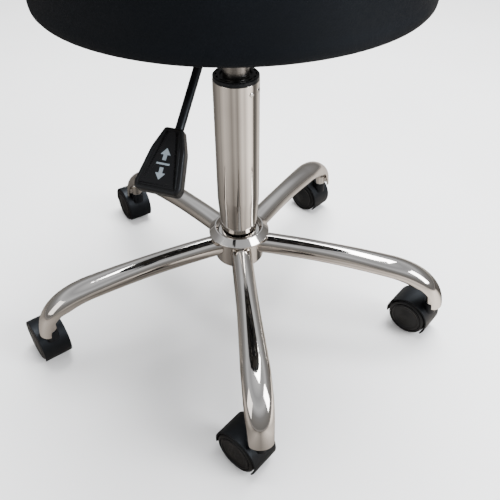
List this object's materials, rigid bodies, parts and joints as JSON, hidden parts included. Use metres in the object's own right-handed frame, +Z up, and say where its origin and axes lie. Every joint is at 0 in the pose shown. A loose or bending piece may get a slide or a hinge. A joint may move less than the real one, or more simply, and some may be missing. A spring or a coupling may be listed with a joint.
{
  "type": "pedicure stool",
  "caption": "Rolling stool with a round padded seat on a gas-lift column, a release lever and a tubular base on swivelling twin-wheel casters.",
  "frame": {"origin": "on the floor under the column's axis", "axes": "+Z up along the column; one leg points along -Y"},
  "size_m": [0.5341, 0.5212, 0.499],
  "materials": {
    "chrome_tube": "polished chrome plate",
    "hood_plastic": "satin moulded nylon",
    "wheel_plastic": "smooth moulded nylon",
    "zinc_steel": "bright zinc",
    "bush_plastic": "moulded acetal",
    "bright_steel": "machined",
    "cylinder_steel": "dark ground steel",
    "rod_chrome": "hard chrome",
    "black_rubber": "moulded rubber",
    "black_paint": "black powder coat",
    "plywood": "plywood stained black",
    "foam": "open-cell foam",
    "leatherette": "fine-grained black leatherette",
    "paddle_plastic": "fine satin moulding"
  },
  "bodies": {
    "base": {"hub": "chrome_tube", "leg_front": "chrome_tube", "leg_right": "chrome_tube", "leg_back_right": "chrome_tube", "leg_back_left": "chrome_tube", "leg_left": "chrome_tube", "stem_socket_front": "chrome_tube", "stem_socket_right": "chrome_tube", "stem_socket_back_right": "chrome_tube", "stem_socket_back_left": "chrome_tube", "stem_socket_left": "chrome_tube", "caster_stem_front": "zinc_steel", "caster_stem_right": "zinc_steel", "caster_stem_back_right": "zinc_steel", "caster_stem_back_left": "zinc_steel", "caster_stem_left": "zinc_steel", "column_tube": "chrome_tube", "guide_bush": "bush_plastic", "bush_rivets": "bright_steel", "column_base_plate": "bright_steel", "thrust_bearing": "bright_steel"},
    "gas_rod_body": {"gas_rod": "rod_chrome", "bearing_washer": "bright_steel", "bump_stop": "black_rubber", "piston_head": "bright_steel", "retaining_clip": "bright_steel"},
    "seat": {"gas_cylinder": "cylinder_steel", "rod_gland": "black_rubber", "valve_block": "bright_steel", "mechanism_socket": "black_paint", "mechanism_plate": "black_paint", "lever_pivot": "bright_steel", "mounting_bolts": "zinc_steel", "tee_nuts": "bright_steel", "seat_board": "plywood", "seat_foam": "foam", "seat_cover": "leatherette"},
    "release_pin_body": {"release_pin": "bright_steel"},
    "lever": {"lever_rod": "black_paint", "lever_paddle": "paddle_plastic"},
    "caster_front": {"caster_hood_front": "hood_plastic", "caster_axle_front": "zinc_steel"},
    "wheel_front_a_body": {"wheel_front_a": "wheel_plastic"},
    "wheel_front_b_body": {"wheel_front_b": "wheel_plastic"},
    "caster_right": {"caster_hood_right": "hood_plastic", "caster_axle_right": "zinc_steel"},
    "wheel_right_a_body": {"wheel_right_a": "wheel_plastic"},
    "wheel_right_b_body": {"wheel_right_b": "wheel_plastic"},
    "caster_back_right": {"caster_hood_back_right": "hood_plastic", "caster_axle_back_right": "zinc_steel"},
    "wheel_back_right_a_body": {"wheel_back_right_a": "wheel_plastic"},
    "wheel_back_right_b_body": {"wheel_back_right_b": "wheel_plastic"},
    "caster_back_left": {"caster_hood_back_left": "hood_plastic", "caster_axle_back_left": "zinc_steel"},
    "wheel_back_left_a_body": {"wheel_back_left_a": "wheel_plastic"},
    "wheel_back_left_b_body": {"wheel_back_left_b": "wheel_plastic"},
    "caster_left": {"caster_hood_left": "hood_plastic", "caster_axle_left": "zinc_steel"},
    "wheel_left_a_body": {"wheel_left_a": "wheel_plastic"},
    "wheel_left_b_body": {"wheel_left_b": "wheel_plastic"}
  },
  "joints": [
    {"name": "seat_swivel", "type": "hinge", "parent": "base", "child": "gas_rod_body", "pos_m": [0, 0, 0.2], "axis": [0, 0, 1], "continuous": true},
    {"name": "seat_lift", "type": "slide", "parent": "gas_rod_body", "child": "seat", "axis": [0, 0, 1], "range_m": [-0.04, 0.09]},
    {"name": "lever_lift", "type": "hinge", "parent": "seat", "child": "lever", "pos_m": [-0.01437, -0.03081, 0.406], "axis": [-0.9063, 0.4226, 0], "range_deg": [0, 6], "stiffness_Nm_per_rad": 2, "springref_deg": -11.46},
    {"name": "release_pin_travel", "type": "slide", "parent": "seat", "child": "release_pin_body", "axis": [0, 0, 1], "range_m": [-0.0037, 0]},
    {"name": "caster_swivel_front", "type": "hinge", "parent": "base", "child": "caster_front", "pos_m": [0, -0.25, 0.05], "axis": [0, 0, 1], "continuous": true},
    {"name": "wheel_roll_front_a", "type": "hinge", "parent": "caster_front", "child": "wheel_front_a_body", "pos_m": [-0.01398, -0.23501, 0.025], "axis": [0.7314, 0.682, 0], "continuous": true},
    {"name": "wheel_roll_front_b", "type": "hinge", "parent": "caster_front", "child": "wheel_front_b_body", "pos_m": [-0.01398, -0.23501, 0.025], "axis": [0.7314, 0.682, 0], "continuous": true},
    {"name": "caster_swivel_right", "type": "hinge", "parent": "base", "child": "caster_right", "pos_m": [0.23776, -0.07725, 0.05], "axis": [0, 0, 1], "continuous": true},
    {"name": "wheel_roll_right_a", "type": "hinge", "parent": "caster_right", "child": "wheel_right_a_body", "pos_m": [0.22352, -0.06251, 0.025], "axis": [0.7193, 0.6947, 0], "continuous": true},
    {"name": "wheel_roll_right_b", "type": "hinge", "parent": "caster_right", "child": "wheel_right_b_body", "pos_m": [0.22352, -0.06251, 0.025], "axis": [0.7193, 0.6947, 0], "continuous": true},
    {"name": "caster_swivel_back_right", "type": "hinge", "parent": "base", "child": "caster_back_right", "pos_m": [0.14695, 0.20225, 0.05], "axis": [0, 0, 1], "continuous": true},
    {"name": "wheel_roll_back_right_a", "type": "hinge", "parent": "caster_back_right", "child": "wheel_back_right_a_body", "pos_m": [0.13377, 0.21796, 0.025], "axis": [0.766, 0.6428, 0], "continuous": true},
    {"name": "wheel_roll_back_right_b", "type": "hinge", "parent": "caster_back_right", "child": "wheel_back_right_b_body", "pos_m": [0.13377, 0.21796, 0.025], "axis": [0.766, 0.6428, 0], "continuous": true},
    {"name": "caster_swivel_back_left", "type": "hinge", "parent": "base", "child": "caster_back_left", "pos_m": [-0.14695, 0.20225, 0.05], "axis": [0, 0, 1], "continuous": true},
    {"name": "wheel_roll_back_left_a", "type": "hinge", "parent": "caster_back_left", "child": "wheel_back_left_a_body", "pos_m": [-0.15625, 0.22052, 0.025], "axis": [0.891, 0.454, 0], "continuous": true},
    {"name": "wheel_roll_back_left_b", "type": "hinge", "parent": "caster_back_left", "child": "wheel_back_left_b_body", "pos_m": [-0.15625, 0.22052, 0.025], "axis": [0.891, 0.454, 0], "continuous": true},
    {"name": "caster_swivel_left", "type": "hinge", "parent": "base", "child": "caster_left", "pos_m": [-0.23776, -0.07725, 0.05], "axis": [0, 0, 1], "continuous": true},
    {"name": "wheel_roll_left_a", "type": "hinge", "parent": "caster_left", "child": "wheel_left_a_body", "pos_m": [-0.24863, -0.05987, 0.025], "axis": [0.848, 0.5299, 0], "continuous": true},
    {"name": "wheel_roll_left_b", "type": "hinge", "parent": "caster_left", "child": "wheel_left_b_body", "pos_m": [-0.24863, -0.05987, 0.025], "axis": [0.848, 0.5299, 0], "continuous": true}
  ],
  "couplings": [
    {"joint": "release_pin_travel", "follows": "lever_lift", "m_per_rad": -0.034}
  ]
}
